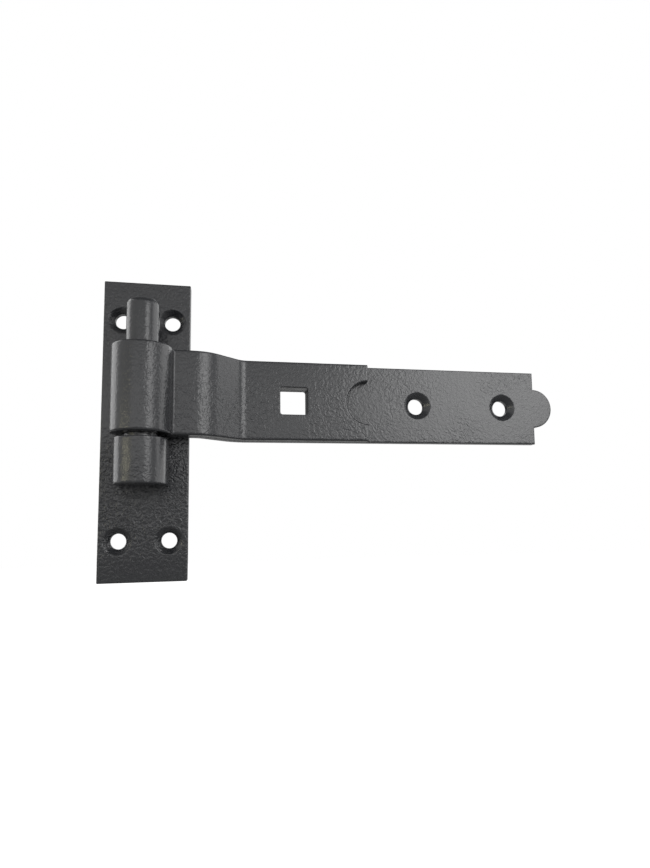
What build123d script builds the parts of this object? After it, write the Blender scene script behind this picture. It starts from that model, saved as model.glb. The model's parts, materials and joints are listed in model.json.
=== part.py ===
from build123d import *
import os
from math import atan2, degrees, radians, sqrt, tan

# Cranked hook and band hinge: a screw-on plate with an upright pin, and a folded strap that swings on it.
# X runs along the closed strap, Y from the visible face towards the post, Z up the pin.
# The origin is the centre of the plate's back face, which lies on the post.

# Hook plate
plate_width = 35.0
plate_height = 125.0
plate_thickness = 5.0
plate_screw_hole = 6.4
plate_screw_head = 11.0
plate_screw_side_land = 2.0
plate_screw_end_land = 11.0

# Pin and the cup that holds it
pin_diameter = 12.7
pin_top_radius = 2.6
pin_foot_chamfer = 0.6
pin_above_eye = 19.4
cup_wall = 3.65
cup_height = 18.2
cup_above_plate_foot = 38.8

# Band: one strip, rolled into an eye, folded back on itself and cranked
band_length = 200.0
strip_width = 35.0
strip_thickness = 5.0
eye_root_radius = 1.0
crank_past_plate = 7.5
crank_offset = 13.0
crank_angle = 42.0
crank_radius = 4.0
bolt_hole_side = 12.0
bolt_hole_corner = 1.0
bolt_hole_past_crank = 22.5
front_leaf_past_bolt = 33.5
band_screw_hole = 7.5
band_screw_head = 12.5
band_screw_pitch = 42.5
shoulder_past_screw = 16.5
tongue_radius = 9.3

# Clearances and finish
eye_on_pin_clearance = 0.35
eye_to_plate_clearance = 0.8
eye_over_cup_clearance = 1.7
leaf_clearance = 0.2
notch_clearance = 0.4
countersink_angle = 90.0
edge_break = 0.4

# The pin's axis, and the heights along it
bore_radius = pin_diameter / 2 + eye_on_pin_clearance
eye_radius = bore_radius + strip_thickness
pin_stand_off = eye_radius + eye_to_plate_clearance
pin_y = -(plate_thickness + pin_stand_off)
cup_radius = pin_diameter / 2 + cup_wall
cup_foot = cup_above_plate_foot - plate_height / 2
eye_foot = cup_foot + cup_height + eye_over_cup_clearance
eye_middle = eye_foot + strip_width / 2
pin_top = eye_foot + strip_width + pin_above_eye

# Spacing of the plate's screws, which leave the named lands between their heads and its edges
screw_columns = plate_width - plate_screw_head - 2 * plate_screw_side_land
screw_rows = plate_height - plate_screw_head - 2 * plate_screw_end_land

# Reaches along the strap, measured from the pin's axis
crank_start = plate_width / 2 + crank_past_plate
crank_end = crank_start + crank_offset / tan(radians(crank_angle))
bolt_hole_reach = crank_end + bolt_hole_past_crank
front_leaf_reach = bolt_hole_reach + front_leaf_past_bolt
tip_reach = band_length - eye_radius
shoulder_reach = tip_reach - tongue_radius
last_screw_reach = shoulder_reach - shoulder_past_screw
first_screw_reach = last_screw_reach - band_screw_pitch

# The two leaves lie together, with the back one level with the back of the eye
fold_thickness = 2 * strip_thickness + leaf_clearance
front_face = eye_radius - fold_thickness
strap_face = pin_y + front_face + crank_offset
back_leaf_face = strap_face + strip_thickness + leaf_clearance

# The bend where the front leaf turns out of the eye
root_y = front_face - eye_root_radius
root_x = sqrt((eye_radius + eye_root_radius) ** 2 - root_y**2)
root_direction = degrees(atan2(root_y, root_x))


def facing_front(y, z):
    """A plane across the hinge at depth y, seen from the front, with its origin in line with the pin."""
    return Plane(origin=(0, y, z), x_dir=(1, 0, 0), z_dir=(0, -1, 0))


def draw_leaf_face(behind, start, end):
    """One face of a leaf, at a distance behind the strap's front, through both bends of the crank."""
    shift = behind * tan(radians(crank_angle / 2))
    level = front_face + behind
    FilletPolyline(
        (start, level),
        (crank_start - shift, level),
        (crank_end - shift, level + crank_offset),
        (end, level + crank_offset),
        radius=[crank_radius + fold_thickness - behind, crank_radius + behind],
    )


def draw_strip_face(depth):
    """One face of the whole strip, front leaf, root bend, eye and back leaf, at a depth in from outside."""
    draw_leaf_face(depth, root_x, front_leaf_reach)
    CenterArc((root_x, root_y), eye_root_radius + depth, 90, 90 + root_direction)
    CenterArc((0, 0), eye_radius - depth, root_direction, -270 - root_direction)
    draw_leaf_face(fold_thickness - depth, 0, tip_reach)


# Hook plate
with BuildPart() as hook_plate:
    with Locations((0, -plate_thickness / 2, 0)):
        Box(plate_width, plate_thickness, plate_height)
    with Locations(facing_front(-plate_thickness, 0)):
        with GridLocations(screw_columns, screw_rows, 2, 2):
            CounterSinkHole(
                plate_screw_hole / 2, plate_screw_head / 2, plate_thickness, countersink_angle
            )
    chamfer(hook_plate.edges(), edge_break)

# Cup: half-round in front, straight back to the plate
with BuildPart() as hook_cup:
    with BuildSketch(Plane((0, pin_y, cup_foot))):
        Circle(cup_radius)
        Rectangle(2 * cup_radius, pin_stand_off, align=(Align.CENTER, Align.MIN))
    extrude(amount=cup_height)
    rims = hook_cup.faces().filter_by(Axis.Z).edges()
    seat = hook_cup.edges().filter_by_position(Axis.Y, -plate_thickness, -plate_thickness)
    chamfer(rims - seat, edge_break)
    with Locations((0, pin_y, cup_foot + cup_height)):
        Hole(pin_diameter / 2)

# Pin
with BuildPart() as hook_pin:
    with BuildSketch(Plane((0, pin_y, cup_foot))):
        Circle(pin_diameter / 2)
    extrude(amount=pin_top - cup_foot)
    fillet(hook_pin.edges().sort_by(Axis.Z)[-1], pin_top_radius)
    chamfer(hook_pin.edges().sort_by(Axis.Z)[0], pin_foot_chamfer)

# Band
with BuildPart() as band:
    with BuildSketch(Plane((0, pin_y, eye_foot))):
        with BuildLine():
            draw_strip_face(0)
            draw_strip_face(strip_thickness)
            for reach, outer, inner in (
                (front_leaf_reach, front_face, front_face + strip_thickness),
                (tip_reach, eye_radius, bore_radius),
            ):
                Line((reach, outer + crank_offset), (reach, inner + crank_offset))
        make_face()
    extrude(amount=strip_width)
    front_leaf = facing_front(strap_face, eye_middle)
    back_leaf = facing_front(back_leaf_face, eye_middle)
    with BuildSketch(back_leaf):
        with Locations((shoulder_reach, 0)):
            Rectangle(tongue_radius, strip_width, align=(Align.MIN, Align.CENTER))
            Circle(tongue_radius, mode=Mode.SUBTRACT)
    extrude(amount=-strip_thickness, mode=Mode.SUBTRACT)
    with BuildSketch(front_leaf):
        with Locations((front_leaf_reach, 0)):
            Circle(tongue_radius + notch_clearance)
    extrude(amount=-strip_thickness - leaf_clearance / 2, mode=Mode.SUBTRACT)
    with BuildSketch(front_leaf):
        with Locations((bolt_hole_reach, 0)):
            RectangleRounded(bolt_hole_side, bolt_hole_side, bolt_hole_corner)
    extrude(amount=-fold_thickness, mode=Mode.SUBTRACT)
    with Locations(back_leaf):
        with Locations((first_screw_reach, 0), (last_screw_reach, 0)):
            CounterSinkHole(
                band_screw_hole / 2, band_screw_head / 2, strip_thickness, countersink_angle
            )
    chamfer(band.edges(), edge_break)

os.makedirs("parts", exist_ok=True)
for piece, name in (
    (hook_plate, "hook_plate"),
    (hook_cup, "hook_cup"),
    (hook_pin, "hook_pin"),
    (band, "band"),
):
    piece.part.label = name
    export_step(piece.part, f"parts/{name}.step")
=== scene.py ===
"""Dresses a cranked hook and band hinge in black hammered paint, and sets up its studio."""

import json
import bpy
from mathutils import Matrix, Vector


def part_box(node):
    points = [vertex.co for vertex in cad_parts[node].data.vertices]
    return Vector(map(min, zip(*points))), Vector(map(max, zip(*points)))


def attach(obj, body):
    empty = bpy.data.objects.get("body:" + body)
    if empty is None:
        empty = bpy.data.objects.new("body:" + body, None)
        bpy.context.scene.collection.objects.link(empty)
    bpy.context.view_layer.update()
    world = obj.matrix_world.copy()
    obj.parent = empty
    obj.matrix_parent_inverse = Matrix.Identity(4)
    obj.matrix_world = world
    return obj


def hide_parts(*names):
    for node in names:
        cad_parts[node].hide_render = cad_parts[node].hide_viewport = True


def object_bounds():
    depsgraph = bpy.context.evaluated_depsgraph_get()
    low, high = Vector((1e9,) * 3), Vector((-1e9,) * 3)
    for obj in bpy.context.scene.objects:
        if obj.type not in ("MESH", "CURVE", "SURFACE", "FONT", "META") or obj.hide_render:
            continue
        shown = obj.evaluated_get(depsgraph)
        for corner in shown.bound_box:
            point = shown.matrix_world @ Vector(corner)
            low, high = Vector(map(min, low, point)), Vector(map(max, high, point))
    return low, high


bl_info = {
    "name": "Hook and Band Hinge",
    "version": (1, 0, 0),
    "blender": (4, 5, 0),
    "location": "View3D > Sidebar > Hinge",
    "description": "Builds a cranked hook and band hinge in black hammered paint, with its studio",
    "category": "Object",
}

from math import atan2, ceil, cos, pi, radians, sin, sqrt, tan

import bmesh
import bpy
import numpy as np
from bpy.props import FloatProperty, FloatVectorProperty, PointerProperty
from mathutils import Matrix, Vector

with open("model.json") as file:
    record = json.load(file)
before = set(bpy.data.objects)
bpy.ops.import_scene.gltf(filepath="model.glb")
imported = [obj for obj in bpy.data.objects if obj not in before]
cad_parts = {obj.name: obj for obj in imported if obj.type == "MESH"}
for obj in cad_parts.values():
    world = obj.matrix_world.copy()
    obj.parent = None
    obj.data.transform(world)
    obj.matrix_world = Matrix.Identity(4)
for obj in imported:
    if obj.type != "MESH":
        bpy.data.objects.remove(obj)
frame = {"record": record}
cad_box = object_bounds()

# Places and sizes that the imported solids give
plate_low, plate_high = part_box("hook_plate")
cup_low, cup_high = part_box("hook_cup")
pin_low, pin_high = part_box("hook_pin")
band_low, band_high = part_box("band")
mounts = {mount["name"]: mount for mount in frame["record"]["mounts"]}
pin_radius = (pin_high.x - pin_low.x) / 2
pin_axis = (pin_low + pin_high) / 2
cup_radius = (cup_high.x - cup_low.x) / 2
eye_radius = -band_low.x
band_middle = (band_low.z + band_high.z) / 2
strip_width = band_high.z - band_low.z
crank_offset = band_high.y - pin_axis.y - eye_radius

MM = 0.001
ACROSS_X = Vector((1, 0, 0))
BACKWARD = Vector((0, 1, 0))
FORWARD = Vector((0, -1, 0))
UP = Vector((0, 0, 1))

# How finely the round forms are divided
ROUNDING_TURNS = np.radians((30, 60, 90))
CORNER_POINTS = 4
SCREW_HOLE_POINTS = 72
NOTCH_POINTS = 96
TONGUE_POINTS = 61


def length(name, description, default):
    """A property for a length in metres."""
    return FloatProperty(
        name=name, description=description, default=default, min=0.0, unit="LENGTH", precision=5
    )


def amount(name, description, default, high):
    """A property for a plain number from zero up."""
    return FloatProperty(name=name, description=description, default=default, min=0.0, max=high)


def colour(name, description, default):
    """A property for a linear colour."""
    return FloatVectorProperty(
        name=name, description=description, default=default, size=3, min=0.0, max=1.0, subtype="COLOR"
    )


class HookSizes(bpy.types.PropertyGroup):
    """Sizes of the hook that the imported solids' boxes don't give."""

    screw_head: length("Screw head", "Width of a countersink in the plate's face", 11 * MM)
    pin_top_radius: length("Pin top radius", "Rounding round the pin's top", 2.6 * MM)
    pin_foot_chamfer: length("Pin foot chamfer", "Chamfer round the pin's lower end", 0.6 * MM)


class BandSizes(bpy.types.PropertyGroup):
    """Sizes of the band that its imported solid's box doesn't give."""

    thickness: length("Strip thickness", "Thickness of the strip", 5 * MM)
    leaf_gap: length("Leaf gap", "Gap between the two folded leaves", 0.2 * MM)
    root_radius: length("Root radius", "Bend where the short leaf turns out of the eye", 1 * MM)
    crank_start: length("Crank start", "First corner of the crank, from the pin", 25 * MM)
    crank_radius: length("Crank radius", "Tightest radius in the crank's bends", 6 * MM)
    crank_angle: FloatProperty(
        name="Crank angle",
        description="Slope of the crank",
        default=radians(42),
        min=radians(10),
        max=radians(80),
        subtype="ANGLE",
    )
    short_leaf_past_bolt: length("Short leaf past bolt", "From bolt hole to the leaf's end", 33.5 * MM)
    bolt_hole_side: length("Bolt hole", "Side of the square bolt hole", 12 * MM)
    bolt_hole_corner: length("Bolt hole corner", "Corner radius of the bolt hole", 1 * MM)
    screw_head: length("Screw head", "Width of a countersink in the long leaf", 12.5 * MM)
    shoulder_past_screw: length("Shoulder past screw", "From last screw to the shoulder", 16.5 * MM)
    tongue_radius: length("Tongue radius", "Radius of the tongue at the long leaf's end", 9.3 * MM)
    notch_clearance: length("Notch clearance", "How much wider the notch is than the tongue", 0.4 * MM)


class PaintFinish(bpy.types.PropertyGroup):
    """The hammered paint: its colours, with painted shade down in the grain, its gloss and relief."""

    ridge_colour: colour("Ridge colour", "Paint on top of the grain", (0.027, 0.028, 0.031))
    # Painted shade: the valley colour is darker than the ridge colour, standing in for shade down in
    # the grain's hollows.
    valley_painted_shade: colour("Valley colour", "Paint down in the grain", (0.021, 0.022, 0.025))
    least_roughness: amount("Least roughness", "Where the paint is glossiest", 0.19, 1.0)
    most_roughness: amount("Most roughness", "Where the paint is dullest", 0.27, 1.0)
    grain_size: length("Grain size", "Width of one bump of the hammered grain", 1.6 * MM)
    grain_depth: length("Grain depth", "Depth of the hammered grain", 0.07 * MM)
    thick_grain_size: length("Thick grain size", "Width of one bump in a thick coat", 1.6 * MM)
    thick_grain_depth: length("Thick grain depth", "Depth of the grain in a thick coat", 0.24 * MM)
    patch_size: length("Patch size", "Width of thicker and thinner patches of the coat", 25 * MM)
    pool_drop: length("Pool drop", "Where the plate's coat is thickest, below its middle", 30 * MM)
    pool_core: length("Pool core", "Half height of the thickest coat", 12 * MM)
    pool_reach: length("Pool reach", "Half height that the thick coat fades out over", 30 * MM)
    thin_share: amount("Thin share", "Depth of the grain outside the pool, as a share", 0.45, 1.0)
    wave_size: length("Wave size", "Width of the slow waves in the bar and its coat", 7 * MM)
    wave_depth: length("Wave depth", "Depth of the slow waves", 0.05 * MM)
    edge_radius: length("Edge radius", "Rounding of painted edges", 0.4 * MM)
    soft_edge_radius: length("Soft edge radius", "Rounding of the strip's outer edges", 0.7 * MM)
    mesh_step: length("Mesh step", "Spacing of the points that carry the relief", 0.6 * MM)


class StudioSettings(bpy.types.PropertyGroup):
    """Lights of the studio."""

    key_power: amount("Key power", "Soft box in front on the right, in watts", 0.222, 100.0)
    fill_power: amount("Fill power", "Soft box in front, above the camera, in watts", 0.19, 100.0)
    left_power: amount("Left power", "Soft box on the left, in watts", 2.0, 100.0)
    right_power: amount("Right power", "Soft box on the right, in watts", 1.7, 100.0)
    top_power: amount("Top power", "Soft box above, in watts", 1.5, 100.0)
    warm_power: amount("Warm power", "Narrow warm lamp in front on the left, in watts", 0.21, 100.0)
    ambient: amount("Ambient", "Strength of the light from all round", 0.55, 2.0)


# Meshes: every solid is a skin through rings of points


def make_object(name, mesh):
    """A new object for a mesh, at the origin."""
    made = bpy.data.objects.new(name, mesh)
    bpy.context.scene.collection.objects.link(made)
    return made


def skin_rings(name, rings, closed=False):
    """A solid skinned through equal rings of points; closed joins the last ring to the first."""
    rings = np.asarray(rings, float)
    ring_count, points = rings.shape[:2]
    spans = ring_count if closed else ring_count - 1
    here = np.arange(spans)[:, None] * points
    after = (np.arange(spans)[:, None] + 1) % ring_count * points
    step = np.arange(points)[None, :]
    turn = (step + 1) % points
    quads = np.stack([here + step, here + turn, after + turn, after + step], axis=-1)
    faces = quads.reshape(-1, 4).tolist()
    if not closed:
        last = (ring_count - 1) * points
        faces.append(list(range(points))[::-1])
        faces.append(list(range(last, last + points)))
    mesh = bpy.data.meshes.new(name)
    mesh.from_pydata(rings.reshape(-1, 3).tolist(), [], faces)
    point_outwards(mesh)
    return mesh


def point_outwards(mesh):
    """Turns the faces of a closed mesh outwards."""
    work = bmesh.new()
    work.from_mesh(mesh)
    bmesh.ops.recalc_face_normals(work, faces=work.faces)
    work.to_mesh(mesh)
    work.free()


def join_meshes(name, meshes):
    """One mesh of several."""
    work = bmesh.new()
    for mesh in meshes:
        work.from_mesh(mesh)
    joined = bpy.data.meshes.new(name)
    work.to_mesh(joined)
    work.free()
    return joined


def steps_along(distance, step):
    """How many steps of about the given size fit a distance."""
    return max(1, ceil(distance / step))


def rounded_section(height, width, radii, step):
    """Core points, outward directions and radii round a rectangle.

    Its outline is core + outward x radius. The first radius rounds the corners on the far side of the
    height, the second those on the near side.
    """
    signs = np.array(((1, 1), (-1, 1), (-1, -1), (1, -1)))
    corner_radii = np.array((radii[0], radii[1], radii[1], radii[0]))
    corners = signs * (np.array((height, width)) / 2 - corner_radii[:, None])
    core, outward, reach = [], [], []
    for quarter in range(4):
        after = (quarter + 1) % 4
        for angle in (quarter + np.linspace(0, 1, CORNER_POINTS)) * pi / 2:
            core.append(corners[quarter])
            outward.append((cos(angle), sin(angle)))
            reach.append(corner_radii[quarter])
        span = corners[after] - corners[quarter]
        count = steps_along(np.linalg.norm(span), step)
        for part in np.arange(1, count) / count:
            core.append(corners[quarter] + span * part)
            outward.append(outward[-1])
            reach.append(corner_radii[quarter] + (corner_radii[after] - corner_radii[quarter]) * part)
    return np.array(core), np.array(outward), np.array(reach)[:, None]


def end_rounding(radius):
    """Steps round a rounded end, as (how far along, how far in)."""
    return [(radius * sin(a), radius * (1 - cos(a))) for a in ROUNDING_TURNS]


def rounded_corner(ease):
    """Steps round a rounded corner, as (depth, how far out or in from the wall)."""
    return [(ease * (1 - cos(a)), ease * (1 - sin(a))) for a in ROUNDING_TURNS]


# A bar's end keeps a little of its edges' rounding, so that its corner points stay apart
END_PULL = 0.95


def sweep_bar(name, points, normals, across, size, radii, step):
    """A flat bar with rounded edges and ends along a path; size is its height and its width across."""
    core, outward, reach = rounded_section(*size, radii, step)
    across = np.array(across)
    ends = end_rounding(min(radii))

    def ring(point, normal, inset):
        section = core + outward * (reach - inset * END_PULL)
        return point + section[:, :1] * normal + section[:, 1:] * across

    start, end = points[0] - points[1], points[-1] - points[-2]
    start, end = start / np.linalg.norm(start), end / np.linalg.norm(end)
    rings = [ring(points[0] + start * on, normals[0], inset) for on, inset in ends[::-1]]
    rings += [ring(point, normal, 0) for point, normal in zip(points, normals)]
    rings += [ring(points[-1] + end * on, normals[-1], inset) for on, inset in ends]
    return skin_rings(name, rings)


def spin_rings(profile, origin, axis, count):
    """Rings of a turned shape, from (radius, distance along the axis) pairs."""
    axis = np.array(axis)
    side = np.array(UP if abs(axis[2]) < 0.5 else ACROSS_X)
    other = np.cross(axis, side)
    angles = np.arange(count) * 2 * pi / count
    circle = np.cos(angles)[:, None] * side + np.sin(angles)[:, None] * other
    return [np.array(origin) + axis * along + circle * radius for radius, along in profile]


# The band's route: the middle of the strip, seen from above, with the pin's axis at (0, 0)


def straight(start, end, step):
    """Points along a straight run, without its last."""
    count = steps_along(np.linalg.norm(np.subtract(end, start)), step)
    return [np.add(start, np.subtract(end, start) * k / count) for k in range(count)]


def arc(centre, radius, start, sweep, step):
    """Points along an arc, without its last; angles are in radians."""
    count = steps_along(radius * abs(sweep), step)
    angles = start + sweep * np.arange(count) / count
    return [np.add(centre, (radius * cos(a), radius * sin(a))) for a in angles]


def leaf_route(sizes, behind, start, end, step):
    """The middle of one leaf from the eye outwards, through both bends of the crank."""
    angle = sizes.crank_angle
    fold = 2 * sizes.thickness + sizes.leaf_gap
    level = eye_radius - fold + behind
    far_level = level + crank_offset
    shift = behind * tan(angle / 2)
    first_radius = sizes.crank_radius + fold - behind
    second_radius = sizes.crank_radius + behind
    first = sizes.crank_start - shift - first_radius * tan(angle / 2)
    second = (
        sizes.crank_start + crank_offset / tan(angle) - shift + second_radius * tan(angle / 2)
    )
    first_bend = arc((first, level + first_radius), first_radius, -pi / 2, angle, step)
    second_bend = arc((second, far_level - second_radius), second_radius, pi / 2 + angle, -angle, step)
    slope_start = (
        first + first_radius * sin(angle),
        level + first_radius * (1 - cos(angle)),
    )
    route = straight((start, level), (first, level), step) + first_bend
    route += straight(slope_start, second_bend[0], step) + second_bend
    return route + straight((second, far_level), (end, far_level), step) + [np.array((end, far_level))]


def band_route(sizes, short_reach, long_reach, step):
    """The whole strip: in along the short leaf, round the eye and out along the long leaf."""
    half = sizes.thickness / 2
    front = eye_radius - 2 * sizes.thickness - sizes.leaf_gap
    root_y = front - sizes.root_radius
    root_x = sqrt((eye_radius + sizes.root_radius) ** 2 - root_y**2)
    lean = atan2(root_y, root_x)
    short_leaf = leaf_route(sizes, half, root_x, short_reach, step)[::-1]
    root = arc((root_x, root_y), sizes.root_radius + half, pi / 2, pi / 2 + lean, step)
    eye = arc((0, 0), eye_radius - half, lean, -1.5 * pi - lean, step)
    long_leaf = leaf_route(sizes, 1.5 * sizes.thickness + sizes.leaf_gap, 0, long_reach, step)
    return np.array(short_leaf[:-1] + root + eye + long_leaf)


def route_in_frame(route, height):
    """Points and outward normals of a route, at a height in the row's frame."""
    along = np.gradient(route, axis=0)
    along /= np.linalg.norm(along, axis=1)[:, None]
    points = np.column_stack([route[:, 0], route[:, 1] + pin_axis.y, np.full(len(route), height)])
    normals = np.column_stack([-along[:, 1], along[:, 0], np.zeros(len(route))])
    return points, normals


# Cutters: each stands a little proud of the metal and flares at its faces, which eases the hole's edges

PROUD = 0.1 * MM
LIP_FLARE = radians(15)
COUNTERSINK_SLOPE = radians(45)
CUT_SPARE = 2 * MM


def rounded_lip(ease):
    """Steps down a hole's rounded lip, as (depth, how far the cut stands out there)."""
    return [(-PROUD, ease + PROUD / tan(LIP_FLARE))] + rounded_corner(ease)


def flared_levels(depth, ease):
    """Depths through the metal, each with how far the cut stands out there."""
    lip = rounded_lip(ease)
    return lip + [(depth - along, out) for along, out in lip[::-1]]


def countersink_cutter(hole_radius, head_radius, thickness, ease):
    """A countersunk screw hole, cut from the front at the origin."""
    flare = tan(COUNTERSINK_SLOPE / 2)
    inner = ease * cos(COUNTERSINK_SLOPE) / 2
    profile = [
        (head_radius + (PROUD + inner) / flare - inner, -PROUD),
        (head_radius - inner, inner),
        (hole_radius, head_radius - hole_radius),
    ]
    profile += [(hole_radius + out, thickness - along) for along, out in rounded_lip(ease)[::-1]]
    return skin_rings("screw cutter", spin_rings(profile, (0, 0, 0), BACKWARD, SCREW_HOLE_POINTS))


def facing_ring(outline, reach, depth):
    """A ring that faces front at a depth, from an outline round a point on the band's middle line."""
    level = np.full(len(outline), depth)
    return np.column_stack([reach + outline[:, 0], level, band_middle + outline[:, 1]])


def bolt_hole_cutter(sizes, reach, face, depth, ease, step):
    """The square hole through both leaves."""
    side, corner = sizes.bolt_hole_side, sizes.bolt_hole_corner
    core, outward, radius = rounded_section(side, side, (corner, corner), step)
    rings = [
        facing_ring(core + outward * (radius + out), reach, face + along)
        for along, out in flared_levels(depth, ease)
    ]
    return skin_rings("bolt hole", rings)


def tongue_cutter(reach, radius, face, depth, ease):
    """What is cut away round the tongue at the long leaf's end."""
    side, end = strip_width / 2 + CUT_SPARE, radius + CUT_SPARE
    rings = []
    for along, out in flared_levels(depth, ease):
        inner = radius - out
        turn = pi / 2 + atan2(out, sqrt(inner**2 - out**2))
        outline = [inner * np.array((cos(a), sin(a))) for a in np.linspace(-turn, turn, TONGUE_POINTS)]
        outline += [(-out, side), (end, side), (end, -side), (-out, -side)]
        rings.append(facing_ring(np.array(outline), reach, face + along))
    return skin_rings("tongue", rings)


def notch_cutter(radius, centre, depth, ease):
    """The round notch in the short leaf's end, cut from its face."""
    profile = [(radius + out, along) for along, out in rounded_lip(ease)]
    profile.append((profile[-1][0], depth))
    return skin_rings("notch", spin_rings(profile, centre, BACKWARD, NOTCH_POINTS))


# Node trees


def add(tree, kind, inputs=(), **options):
    """Adds a node, sets its options, and links or sets its inputs."""
    made = tree.nodes.new(kind)
    for option, value in options.items():
        setattr(made, option, value)
    for key, value in dict(inputs).items():
        if isinstance(value, bpy.types.NodeSocket):
            tree.links.new(value, made.inputs[key])
        else:
            made.inputs[key].default_value = value
    return made


def maths(tree, operation, *values):
    """A number worked out from others."""
    return add(tree, "ShaderNodeMath", enumerate(values), operation=operation).outputs[0]


def scaled(tree, vector, factor):
    """A vector times a number."""
    made = add(tree, "ShaderNodeVectorMath", {0: vector, "Scale": factor}, operation="SCALE")
    return made.outputs["Vector"]


def noise(tree, place, scale, detail):
    """The outputs of a soft noise over a place."""
    return add(tree, "ShaderNodeTexNoise", {"Vector": place, "Scale": scale, "Detail": detail}).outputs


def ramp(tree, value, span, ends, smooth=True):
    """A number that runs from one end to the other while a value crosses a span."""
    made = add(
        tree,
        "ShaderNodeMapRange",
        {"Value": value, 1: span[0], 2: span[1], 3: ends[0], 4: ends[1]},
        interpolation_type="SMOOTHSTEP" if smooth else "LINEAR",
    )
    return made.outputs["Result"]


def new_tree(name, kind, inputs, outputs):
    """A node group with named sockets, each given as (name, type)."""
    tree = bpy.data.node_groups.new(name, kind)
    for in_out, sockets in (("INPUT", inputs), ("OUTPUT", outputs)):
        for label, socket in sockets:
            tree.interface.new_socket(label, in_out=in_out, socket_type=socket)
    return tree


def emptied_tree(owner):
    """The node tree of a material, world or lamp, with nothing in it."""
    owner.use_nodes = True
    owner.node_tree.nodes.clear()
    return owner.node_tree


def punching_tree():
    """Cuts a screw hole at each point of one object, and another object's shape, out of a bar."""
    tree = new_tree(
        "Punch Holes",
        "GeometryNodeTree",
        [
            ("Geometry", "NodeSocketGeometry"),
            ("Screw Places", "NodeSocketObject"),
            ("Screw Cutter", "NodeSocketObject"),
            ("Other Cuts", "NodeSocketObject"),
        ],
        [("Geometry", "NodeSocketGeometry")],
    )
    given = add(tree, "NodeGroupInput").outputs
    places, cutter, others = (
        add(tree, "GeometryNodeObjectInfo", {"Object": given[label]}).outputs["Geometry"]
        for label in ("Screw Places", "Screw Cutter", "Other Cuts")
    )
    holes = add(tree, "GeometryNodeInstanceOnPoints", {"Points": places, "Instance": cutter})
    real = add(tree, "GeometryNodeRealizeInstances", {"Geometry": holes.outputs["Instances"]})
    cut = add(
        tree,
        "GeometryNodeMeshBoolean",
        {"Mesh 1": given["Geometry"]},
        operation="DIFFERENCE",
        solver="MANIFOLD",
    )
    tree.links.new(real.outputs["Geometry"], cut.inputs["Mesh 2"])
    tree.links.new(others, cut.inputs["Mesh 2"])
    add(tree, "NodeGroupOutput", {"Geometry": cut.outputs["Mesh"]})
    return tree


# Edges that bend more than this stay crisp
CREASE_ANGLE = radians(38)


def coating_tree():
    """Presses slow waves into a solid, never outwards, and gives it its paint."""
    tree = new_tree(
        "Hammered Coat",
        "GeometryNodeTree",
        [
            ("Geometry", "NodeSocketGeometry"),
            ("Waves Per Metre", "NodeSocketFloat"),
            ("Depth", "NodeSocketFloat"),
            ("Paint", "NodeSocketMaterial"),
        ],
        [("Geometry", "NodeSocketGeometry")],
    )
    given = add(tree, "NodeGroupInput").outputs
    place = add(tree, "GeometryNodeInputPosition").outputs["Position"]
    wave = noise(tree, place, given["Waves Per Metre"], 1.0)["Fac"]
    depth = maths(tree, "MULTIPLY", maths(tree, "SUBTRACT", wave, 1.0), given["Depth"])
    normal = add(tree, "GeometryNodeInputNormal").outputs["Normal"]
    pressed = add(
        tree,
        "GeometryNodeSetPosition",
        {"Geometry": given["Geometry"], "Offset": scaled(tree, normal, depth)},
    )
    smooth = add(tree, "GeometryNodeSetShadeSmooth", {0: pressed.outputs[0]}, domain="FACE")
    bend = add(tree, "GeometryNodeInputMeshEdgeAngle").outputs["Unsigned Angle"]
    sharp = add(
        tree,
        "FunctionNodeCompare",
        {0: bend, 1: CREASE_ANGLE},
        data_type="FLOAT",
        operation="GREATER_THAN",
    )
    creased = add(
        tree,
        "GeometryNodeSetShadeSmooth",
        {0: smooth.outputs[0], "Selection": sharp.outputs["Result"], "Shade Smooth": False},
        domain="EDGE",
    )
    real = add(tree, "GeometryNodeRealizeInstances", {"Geometry": creased.outputs[0]})
    painted = add(
        tree,
        "GeometryNodeSetMaterial",
        {"Geometry": real.outputs["Geometry"], "Material": given["Paint"]},
    )
    add(tree, "NodeGroupOutput", {"Geometry": painted.outputs["Geometry"]})
    return tree


def add_nodes(piece, tree, values):
    """Puts a node tree on a piece as a modifier, and sets its inputs by their names."""
    modifier = piece.modifiers.new(tree.name, "NODES")
    modifier.node_group = tree
    for item in tree.interface.items_tree:
        if item.item_type == "SOCKET" and item.in_out == "INPUT" and item.name in values:
            modifier[item.identifier] = values[item.name]


def punch(piece, screws, head, thickness, points, other_cuts=()):
    """Cuts a mount's screw holes at points on a bar's face, and other solids; returns its helpers."""
    ease = bpy.context.scene.hinge_paint.edge_radius
    places = bpy.data.meshes.new("screw places")
    places.from_pydata(points, [], [])
    cutter = countersink_cutter(screws["dims"]["hole_r_mm"] * MM, head / 2, thickness, ease)
    helpers = {
        "Screw Places": make_object("screw places", places),
        "Screw Cutter": make_object("screw cutter", cutter),
    }
    if other_cuts:
        helpers["Other Cuts"] = make_object("other cuts", join_meshes("other cuts", other_cuts))
    add_nodes(piece, bpy.data.node_groups.get("Punch Holes") or punching_tree(), helpers)
    return helpers.values()


def finish_piece(piece, body, node, thick=False, helpers=()):
    """Coats a piece, turns its modifiers into plain mesh, and sets it in place of its solid."""
    finish = bpy.context.scene.hinge_paint
    add_nodes(
        piece,
        bpy.data.node_groups.get("Hammered Coat") or coating_tree(),
        {
            "Waves Per Metre": 1 / finish.wave_size,
            "Depth": finish.wave_depth,
            "Paint": hammered_paint(finish, thick),
        },
    )
    graph = bpy.context.evaluated_depsgraph_get()
    mesh = bpy.data.meshes.new_from_object(piece.evaluated_get(graph), depsgraph=graph)
    piece.modifiers.clear()
    piece.data = mesh
    mesh.name = piece.name
    for helper in helpers:
        bpy.data.objects.remove(helper)
    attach(piece, body)
    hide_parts(node)


# Paint

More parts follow.
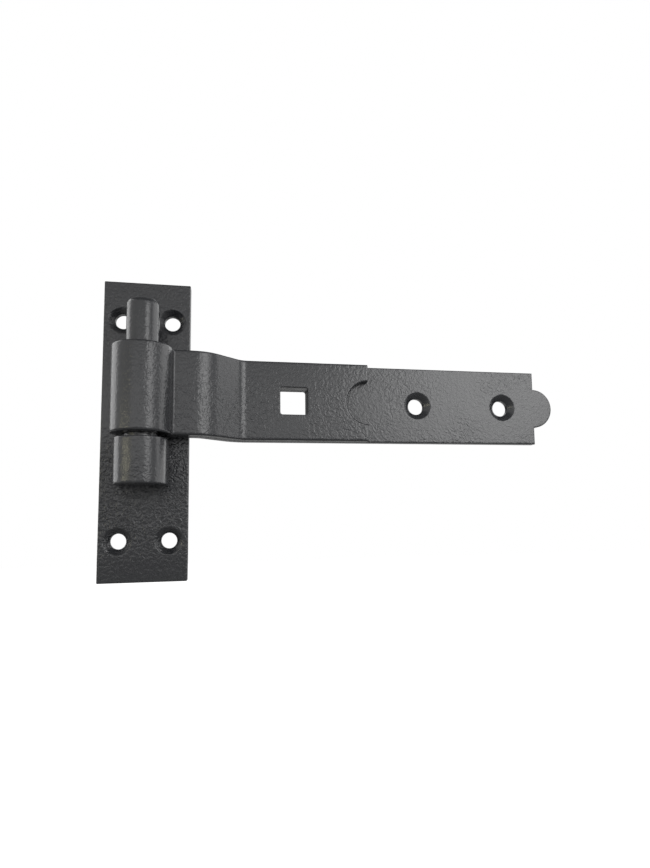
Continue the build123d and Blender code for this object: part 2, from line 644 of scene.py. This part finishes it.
# The grain's noises, measured in bumps of the grain
DRIFT_SCALE = 0.7
DRIFT_REACH = 1.2
RIDGE_SCALE = 1.6
RIDGE_SHARE = 0.5
CELL_SMOOTHNESS = 0.5

# From where to where a noise turns one thing into another
BUMP_SPAN = (0.1, 0.65)
RIDGE_SPAN = (0.34, 0.66)
PATCH_SPAN = (0.35, 0.65)
GLOSS_SPAN = (0.3, 0.7)

# Depth of the grain in the thinnest and thickest patches of the coat, as shares
PATCH_DEPTHS = (0.55, 1.25)
GLOSS_SPECKS_PER_METRE = 1800.0
PAINT_IOR = 1.5


def grain_group():
    """The hammered grain: rounded bumps that run together into short ridges, deeper in some patches."""
    tree = new_tree(
        "Hammered Grain",
        "ShaderNodeTree",
        [
            ("Vector", "NodeSocketVector"),
            ("Bumps Per Metre", "NodeSocketFloat"),
            ("Patches Per Metre", "NodeSocketFloat"),
        ],
        [("Height", "NodeSocketFloat")],
    )
    given = add(tree, "NodeGroupInput").outputs
    place = scaled(tree, given["Vector"], given["Bumps Per Metre"])
    drift = noise(tree, place, DRIFT_SCALE, 0.0)["Color"]
    moved = add(
        tree,
        "ShaderNodeVectorMath",
        {0: drift, 1: (DRIFT_REACH, DRIFT_REACH, DRIFT_REACH), 2: place},
        operation="MULTIPLY_ADD",
    ).outputs["Vector"]
    cells = add(
        tree,
        "ShaderNodeTexVoronoi",
        {"Vector": moved, "Scale": 1.0, "Smoothness": CELL_SMOOTHNESS},
        feature="SMOOTH_F1",
    )
    bumps = ramp(tree, cells.outputs["Distance"], BUMP_SPAN, (1.0, 0.0))
    ridges = ramp(tree, noise(tree, moved, RIDGE_SCALE, 1.0)["Fac"], RIDGE_SPAN, (0.0, 1.0))
    height = add(tree, "ShaderNodeMix", {0: RIDGE_SHARE, 2: bumps, 3: ridges}).outputs[0]
    wide = scaled(tree, given["Vector"], given["Patches Per Metre"])
    coat = ramp(tree, noise(tree, wide, 1.0, 1.0)["Fac"], PATCH_SPAN, PATCH_DEPTHS)
    add(tree, "NodeGroupOutput", {"Height": maths(tree, "MULTIPLY", height, coat)})
    return tree


def pooled_coat(tree, place, finish):
    """How deep the grain is on the plate: deepest where the coat pools below the cup."""
    rise = add(tree, "ShaderNodeSeparateXYZ", {0: place}).outputs["Z"]
    away = maths(tree, "ABSOLUTE", maths(tree, "ADD", rise, finish.pool_drop))
    return ramp(tree, away, (finish.pool_core, finish.pool_reach), (1.0, finish.thin_share))


def hammered_paint(finish, thick):
    """Black hammered paint: a glossy coat with painted shade that darkens it down in its grain, which a
    thick coat deepens.
    """
    name = "Thick Hammered Paint" if thick else "Hammered Paint"
    if name in bpy.data.materials:
        return bpy.data.materials[name]
    size, depth = finish.grain_size, finish.grain_depth
    if thick:
        size, depth = finish.thick_grain_size, finish.thick_grain_depth
    paint = bpy.data.materials.new(name)
    tree = emptied_tree(paint)
    place = add(tree, "ShaderNodeTexCoord").outputs["Object"]
    grain = add(
        tree,
        "ShaderNodeGroup",
        {"Vector": place, "Bumps Per Metre": 1 / size, "Patches Per Metre": 1 / finish.patch_size},
        node_tree=bpy.data.node_groups.get("Hammered Grain") or grain_group(),
    )
    height = grain.outputs["Height"]
    # Painted shade: the colour runs from the ridge colour on the bumps to the darker valley colour in
    # the grain's hollows.
    tint = add(
        tree,
        "ShaderNodeMix",
        {0: height, 6: (*finish.valley_painted_shade, 1), 7: (*finish.ridge_colour, 1)},
        data_type="RGBA",
    )
    specks = noise(tree, place, GLOSS_SPECKS_PER_METRE, 2.0)["Fac"]
    gloss = (finish.least_roughness, finish.most_roughness)
    relief = maths(tree, "MULTIPLY", height, pooled_coat(tree, place, finish)) if thick else height
    bump = add(tree, "ShaderNodeBump", {"Height": relief, "Strength": 1.0, "Distance": depth})
    surface = add(
        tree,
        "ShaderNodeBsdfPrincipled",
        {
            "Base Color": tint.outputs[2],
            "Roughness": ramp(tree, specks, GLOSS_SPAN, gloss, smooth=False),
            "Normal": bump.outputs["Normal"],
            "IOR": PAINT_IOR,
        },
    )
    add(tree, "ShaderNodeOutputMaterial", {"Surface": surface.outputs["BSDF"]})
    return paint


# Pieces


class HINGE_OT_hook_plate(bpy.types.Operator):
    """Make the screw-on plate: a flat bar with four countersunk holes"""

    bl_idname = "hinge.hook_plate"
    bl_label = "Hook Plate"

    def execute(self, context):
        sizes, finish = context.scene.hinge_hook, context.scene.hinge_paint
        step, ease = finish.mesh_step, finish.edge_radius
        width, thickness = plate_high.x - plate_low.x, plate_high.y - plate_low.y
        middle = (plate_low + plate_high) / 2
        low, high = plate_low.z + ease, plate_high.z - ease
        heights = np.linspace(low, high, steps_along(high - low, step) + 1)
        points = np.array([(middle.x, middle.y, height) for height in heights])
        normals = np.tile(np.array(FORWARD), (len(points), 1))
        bar = sweep_bar("plate", points, normals, ACROSS_X, (thickness, width), (ease, ease), step)
        piece = make_object("hammered_hook_plate", bar)
        screws = mounts["plate_screws"]
        side, rise = (screws["dims"][name] * MM / 2 for name in ("spacing_x_mm", "spacing_y_mm"))
        corners = [(x, plate_low.y, z) for x in (-side, side) for z in (-rise, rise)]
        helpers = punch(piece, screws, sizes.screw_head, thickness, corners)
        finish_piece(piece, "hook", "hook_plate", thick=True, helpers=helpers)
        return {"FINISHED"}


class HINGE_OT_hook_cup(bpy.types.Operator):
    """Make the half-round cup that holds the pin on the plate"""

    bl_idname = "hinge.hook_cup"
    bl_label = "Hook Cup"

    def outline(self, radius, step):
        """Half-round in front and straight back to the plate, with as many points at any radius."""
        back = plate_low.y - pin_axis.y
        count = steps_along(2 * cup_radius, step)
        loop = arc((0, 0), radius, pi, pi, step / cup_radius * radius)
        loop += straight((radius, 0), (radius, back), step)
        loop += [np.array((radius * (1 - 2 * k / count), back)) for k in range(count)]
        return np.array(loop + straight((-radius, back), (-radius, 0), step))

    def execute(self, context):
        finish = context.scene.hinge_paint
        step, ease = finish.mesh_step, finish.edge_radius
        foot, top = cup_low.z, cup_high.z
        wall = self.outline(cup_radius, step)
        face = self.outline(cup_radius - ease, step)
        bore = face / np.linalg.norm(face, axis=1)[:, None] * pin_radius

        def ring(outline, height):
            level = np.full(len(outline), height)
            return np.column_stack([outline[:, 0], outline[:, 1] + pin_axis.y, level])

        across = np.linspace(0, 1, steps_along(cup_radius - ease - pin_radius, step) + 1)
        corner = rounded_corner(ease)[:-1]
        rim = [(rise, self.outline(cup_radius - inset, step)) for rise, inset in corner]
        rises = np.linspace(foot + ease, top - ease, steps_along(top - foot - 2 * ease, step) + 1)
        rings = [ring(bore + (face - bore) * part, foot) for part in across]
        rings += [ring(outline, foot + rise) for rise, outline in rim]
        rings += [ring(wall, height) for height in rises]
        rings += [ring(outline, top - rise) for rise, outline in rim[::-1]]
        rings += [ring(bore + (face - bore) * part, top) for part in across[::-1]]
        piece = make_object("hammered_hook_cup", skin_rings("cup", rings, closed=True))
        finish_piece(piece, "hook", "hook_cup")
        return {"FINISHED"}


class HINGE_OT_hook_pin(bpy.types.Operator):
    """Make the upright pin, with its rounded top"""

    bl_idname = "hinge.hook_pin"
    bl_label = "Hook Pin"

    def execute(self, context):
        sizes, finish = context.scene.hinge_hook, context.scene.hinge_paint
        step = finish.mesh_step
        foot, top = pin_low.z, pin_high.z
        chamfer, shoulder = sizes.pin_foot_chamfer, sizes.pin_top_radius
        flat = pin_radius - shoulder
        innermost = 0.1
        inner = np.linspace(innermost, 1, steps_along(pin_radius, step))
        profile = [((pin_radius - chamfer) * part, foot) for part in inner]
        side_low, side_high = foot + chamfer, top - shoulder
        rises = np.linspace(side_low, side_high, steps_along(side_high - side_low, step))
        profile += [(pin_radius, rise) for rise in rises]
        for angle in np.linspace(0, pi / 2, steps_along(shoulder * pi / 2, step) + 1)[1:]:
            profile.append((flat + shoulder * cos(angle), side_high + shoulder * sin(angle)))
        profile += [(flat * part, top) for part in inner[-2::-1]]
        turns = steps_along(2 * pi * pin_radius, step)
        rings = spin_rings(profile, (pin_axis.x, pin_axis.y, 0), UP, turns)
        piece = make_object("hammered_hook_pin", skin_rings("pin", rings))
        finish_piece(piece, "hook", "hook_pin")
        return {"FINISHED"}


class HINGE_OT_band(bpy.types.Operator):
    """Make the band: one strip rolled into an eye, folded on itself, cranked and punched"""

    bl_idname = "hinge.band"
    bl_label = "Band"

    def execute(self, context):
        sizes, finish = context.scene.hinge_band, context.scene.hinge_paint
        step, ease, soft_ease = finish.mesh_step, finish.edge_radius, finish.soft_edge_radius
        thickness, tongue_radius = sizes.thickness, sizes.tongue_radius
        screws = mounts["band_screws"]
        middle, pitch = screws["pos_m"][0], screws["dims"]["spacing_x_mm"] * MM
        bolt_reach = mounts["coach_bolt_hole"]["pos_m"][0]
        short_reach = bolt_reach + sizes.short_leaf_past_bolt
        shoulder_reach = middle + pitch / 2 + sizes.shoulder_past_screw

        route = band_route(sizes, short_reach - ease, shoulder_reach + tongue_radius + ease, step)
        points, normals = route_in_frame(route, band_middle)
        size = (thickness, strip_width)
        bar = sweep_bar("band", points, normals, UP, size, (soft_ease, ease), step)
        piece = make_object("hammered_band", bar)

        long_face = band_high.y - thickness
        short_face = long_face - sizes.leaf_gap - thickness
        fold = band_high.y - short_face
        notch_radius = tongue_radius + sizes.notch_clearance
        notch_centre = (short_reach, short_face, band_middle)
        cuts = [
            notch_cutter(notch_radius, notch_centre, thickness + sizes.leaf_gap / 2, soft_ease),
            bolt_hole_cutter(sizes, bolt_reach, short_face, fold, ease, step),
            tongue_cutter(shoulder_reach, tongue_radius, long_face, thickness, ease),
        ]
        places = [(middle + side * pitch / 2, long_face, band_middle) for side in (-1, 1)]
        helpers = punch(piece, screws, sizes.screw_head, thickness, places, cuts)
        finish_piece(piece, "band", "band", helpers=helpers)
        return {"FINISHED"}


# Studio

WHITE = (1, 1, 1, 1)
FLOOR_HEIGHT = -0.32
FLOOR_HALF_WIDTH = 4.0
FLOOR_GREY = (0.3, 0.3, 0.3, 1)

# How bright the surroundings are in the paint
PALE_WALLS = 0.95
DARK_BEHIND = 0.05
DARK_OVERHEAD = -0.1
LIGHTER_UPWARDS = 0.4
BRIGHT_PATCH = 0.8
DIM_FLOOR = 0.03
BACK_FLOOR = 0.4
FRONT_FLOOR = 0.45

# Where that changes: by the direction's part upwards or backwards, and on the floor by metres backwards
CAMERA_TOP = (-0.005, 0.018)
BACK_WALL = (0.2, 0.6)
CEILING = (0.5, 0.8)
BACK_FLOOR_START = (0.4, 0.9)
BACK_FLOOR_END = (1.7, 2.1)
FRONT_FLOOR_END = (-1.0, 0.0)

# How far from a feathered lamp's middle its light fades, across a width of 1
FEATHERING = (0.2, 0.5)


def patch(tree, direction, strength, middle, outer, inner):
    """A round patch of the surroundings, which fades out between two angles given in degrees."""
    facing = add(
        tree,
        "ShaderNodeVectorMath",
        {0: direction, 1: Vector(middle).normalized()},
        operation="DOT_PRODUCT",
    ).outputs["Value"]
    return ramp(tree, facing, (cos(radians(outer)), cos(radians(inner))), (0.0, strength))


def studio_world(ambient):
    """A white backdrop, a softer light from all round, and the room that the paint mirrors.

    The room is pale, and dark in front round the camera, behind and overhead. A bright patch behind on
    the right lights the pin's rim.
    """
    world = bpy.data.worlds.new("Studio")
    tree = emptied_tree(world)
    rays = add(tree, "ShaderNodeLightPath").outputs
    shown = maths(tree, "MAXIMUM", rays["Is Camera Ray"], rays["Is Transmission Ray"])
    direction = add(tree, "ShaderNodeTexCoord").outputs["Generated"]
    parts = add(tree, "ShaderNodeSeparateXYZ", {0: direction}).outputs
    ahead = patch(tree, direction, PALE_WALLS, middle=(-0.12, -0.99, -0.03), outer=10, inner=6)
    camera_side = ramp(tree, parts["Z"], CAMERA_TOP, (ahead, 0.0))
    walls = ramp(tree, parts["Y"], BACK_WALL, (PALE_WALLS, DARK_BEHIND))
    ceiling = ramp(tree, parts["Z"], CEILING, (walls, DARK_OVERHEAD))
    room = maths(tree, "MULTIPLY_ADD", parts["Z"], LIGHTER_UPWARDS, ceiling)
    rim = patch(tree, direction, BRIGHT_PATCH, middle=(0.435, 0.819, 0.375), outer=30, inner=16)
    seen = maths(tree, "SUBTRACT", maths(tree, "ADD", room, rim), camera_side)
    light, mirrored, backdrop = (
        add(tree, "ShaderNodeBackground", {"Color": WHITE, "Strength": strength}).outputs[0]
        for strength in (ambient, seen, 1.0)
    )
    lit = add(tree, "ShaderNodeMixShader", {0: rays["Is Glossy Ray"], 1: light, 2: mirrored})
    mixed = add(tree, "ShaderNodeMixShader", {0: shown, 1: lit.outputs[0], 2: backdrop})
    add(tree, "ShaderNodeOutputWorld", {"Surface": mixed.outputs[0]})
    bpy.context.scene.world = world


def pale_floor():
    """A pale floor well below the hinge, lifted to white where the camera sees it.

    The paint mirrors it as a band in front and a band behind.
    """
    mesh = bpy.data.meshes.new("floor")
    sides = ((-1, -1), (1, -1), (1, 1), (-1, 1))
    corners = [(x * FLOOR_HALF_WIDTH, y * FLOOR_HALF_WIDTH, FLOOR_HEIGHT) for x, y in sides]
    mesh.from_pydata(corners, [], [(0, 1, 2, 3)])
    material = bpy.data.materials.new("Pale Floor")
    tree = emptied_tree(material)
    rays = add(tree, "ShaderNodeLightPath").outputs
    place = add(tree, "ShaderNodeTexCoord").outputs["Object"]
    back = add(tree, "ShaderNodeSeparateXYZ", {0: place}).outputs["Y"]
    sheen = ramp(tree, back, BACK_FLOOR_START, (DIM_FLOOR, BACK_FLOOR), smooth=False)
    sheen = ramp(tree, back, BACK_FLOOR_END, (sheen, DIM_FLOOR), smooth=False)
    sheen = ramp(tree, back, FRONT_FLOOR_END, (FRONT_FLOOR, sheen), smooth=False)
    mirrored = maths(tree, "MULTIPLY_ADD", rays["Is Glossy Ray"], sheen, rays["Is Transmission Ray"])
    shown = maths(tree, "MAXIMUM", rays["Is Camera Ray"], mirrored)
    matt = add(tree, "ShaderNodeBsdfDiffuse", {"Color": FLOOR_GREY})
    glow = add(tree, "ShaderNodeEmission", {"Color": WHITE, "Strength": shown})
    both = add(tree, "ShaderNodeAddShader", {0: matt.outputs[0], 1: glow.outputs[0]})
    add(tree, "ShaderNodeOutputMaterial", {"Surface": both.outputs[0]})
    mesh.materials.append(material)
    make_object("floor", mesh)


def feather(lamp):
    """Fades a lamp's light from its middle to its sides."""
    tree = emptied_tree(lamp)
    place = add(tree, "ShaderNodeNewGeometry").outputs["Parametric"]
    middle = (0.5, 0.5, 0)
    off_centre = add(tree, "ShaderNodeVectorMath", {0: place, 1: middle}, operation="DISTANCE")
    fade = ramp(tree, off_centre.outputs["Value"], FEATHERING, (1.0, 0.0))
    glow = add(tree, "ShaderNodeEmission", {"Strength": fade})
    add(tree, "ShaderNodeOutputLight", {"Surface": glow.outputs[0]})


def soft_box(name, power, place, aim, size, spread=180, tint=(1, 1, 1)):
    """A rectangular soft light that faces a point; its spread is in degrees."""
    lamp = bpy.data.lights.new(name, "AREA")
    lamp.color = tint
    lamp.shape = "RECTANGLE"
    lamp.size, lamp.size_y = size
    lamp.energy = power
    lamp.spread = radians(spread)
    made = bpy.data.objects.new(name, lamp)
    made.location = place
    made.rotation_euler = (Vector(aim) - Vector(place)).to_track_quat("-Z", "Y").to_euler()
    made.visible_camera = False
    bpy.context.scene.collection.objects.link(made)
    return made


def photo_camera():
    """The camera where the photograph was taken, found from the hinge's own edges and holes."""
    image_height = 868
    image_centre = (325.0, 434.0)
    focal_pixels = 604.38
    axis_pixel = (353.24, 454.64)
    place = (0.0346, -0.2645, -0.0384)
    yaw, pitch, roll = radians(11.55), radians(6.09), radians(0.91)
    data = bpy.data.cameras.new("Camera")
    data.lens = focal_pixels / image_height * data.sensor_width
    data.shift_x = (image_centre[0] - axis_pixel[0]) / image_height
    data.shift_y = (axis_pixel[1] - image_centre[1]) / image_height
    data.clip_start = 0.01
    turn = Matrix.Rotation(-yaw, 3, UP)
    right, ahead = turn @ ACROSS_X, turn @ BACKWARD
    tip = Matrix.Rotation(pitch, 3, right)
    ahead, up = tip @ ahead, tip @ UP
    lean = Matrix.Rotation(roll, 3, ahead)
    right, up = lean @ right, lean @ up
    made = bpy.data.objects.new("Camera", data)
    made.matrix_world = Matrix((right, up, -ahead)).transposed().to_4x4()
    made.location = place
    bpy.context.scene.collection.objects.link(made)
    bpy.context.scene.camera = made


class HINGE_OT_stage(bpy.types.Operator):
    """Set up the studio: white surroundings, a pale floor, soft lights and the camera"""

    bl_idname = "hinge.stage"
    bl_label = "Studio"

    def execute(self, context):
        studio = context.scene.hinge_studio
        middle = (cad_box[0] + cad_box[1]) / 2
        far_leaf = (0.12, 0, 0.014)
        warm = (1.0, 0.95, 0.66)
        studio_world(studio.ambient)
        pale_floor()
        key = soft_box(
            "key light",
            studio.key_power,
            place=(0.272, -0.28, 0.1),
            aim=far_leaf,
            size=(0.34, 0.38),
            spread=60,
        )
        feather(key.data)
        soft_box(
            "fill light", studio.fill_power, place=(0, -0.45, 0.075), aim=middle, size=(0.5, 0.13)
        )
        soft_box(
            "left light", studio.left_power, place=(-0.58, 0.27, 0.25), aim=middle, size=(0.5, 0.6)
        )
        soft_box(
            "right light", studio.right_power, place=(0.6, 0.2, 0.15), aim=middle, size=(0.8, 0.5)
        )
        top = soft_box(
            "top light", studio.top_power, place=(0.3, 0.25, 0.7), aim=middle, size=(0.6, 0.5)
        )
        top.visible_glossy = False
        soft_box(
            "warm lamp",
            studio.warm_power,
            place=(-0.41, -0.32, 0.03),
            aim=middle,
            size=(0.36, 0.03),
            tint=warm,
        )
        photo_camera()
        context.scene.view_settings.view_transform = "Standard"
        return {"FINISHED"}


class HINGE_PT_hinge(bpy.types.Panel):
    """The hinge's sizes and paint, and a button for each piece"""

    bl_idname = "HINGE_PT_hinge"
    bl_label = "Hook and Band Hinge"
    bl_space_type = "VIEW_3D"
    bl_region_type = "UI"
    bl_category = "Hinge"

    def draw(self, context):
        for title, group in settings.items():
            box = self.layout.box()
            box.label(text=title.replace("_", " ").title())
            values = getattr(context.scene, title)
            for name in group.__annotations__:
                box.prop(values, name)
        for operator in operators:
            self.layout.operator(operator.bl_idname)


settings = {
    "hinge_hook": HookSizes,
    "hinge_band": BandSizes,
    "hinge_paint": PaintFinish,
    "hinge_studio": StudioSettings,
}
operators = (
    HINGE_OT_hook_plate,
    HINGE_OT_hook_cup,
    HINGE_OT_hook_pin,
    HINGE_OT_band,
    HINGE_OT_stage,
)
classes = (*settings.values(), *operators, HINGE_PT_hinge)


def register():
    """Adds the hinge's classes and settings to Blender."""
    for each in classes:
        bpy.utils.register_class(each)
    for name, group in settings.items():
        setattr(bpy.types.Scene, name, PointerProperty(type=group))


def unregister():
    """Takes the hinge's settings and classes out of Blender."""
    for name in settings:
        delattr(bpy.types.Scene, name)
    for each in reversed(classes):
        bpy.utils.unregister_class(each)


def main():
    """Builds every piece and the studio."""
    register()
    bpy.ops.hinge.hook_plate()
    bpy.ops.hinge.hook_cup()
    bpy.ops.hinge.hook_pin()
    bpy.ops.hinge.band()
    bpy.ops.hinge.stage()


if __name__ == "__main__":
    main()
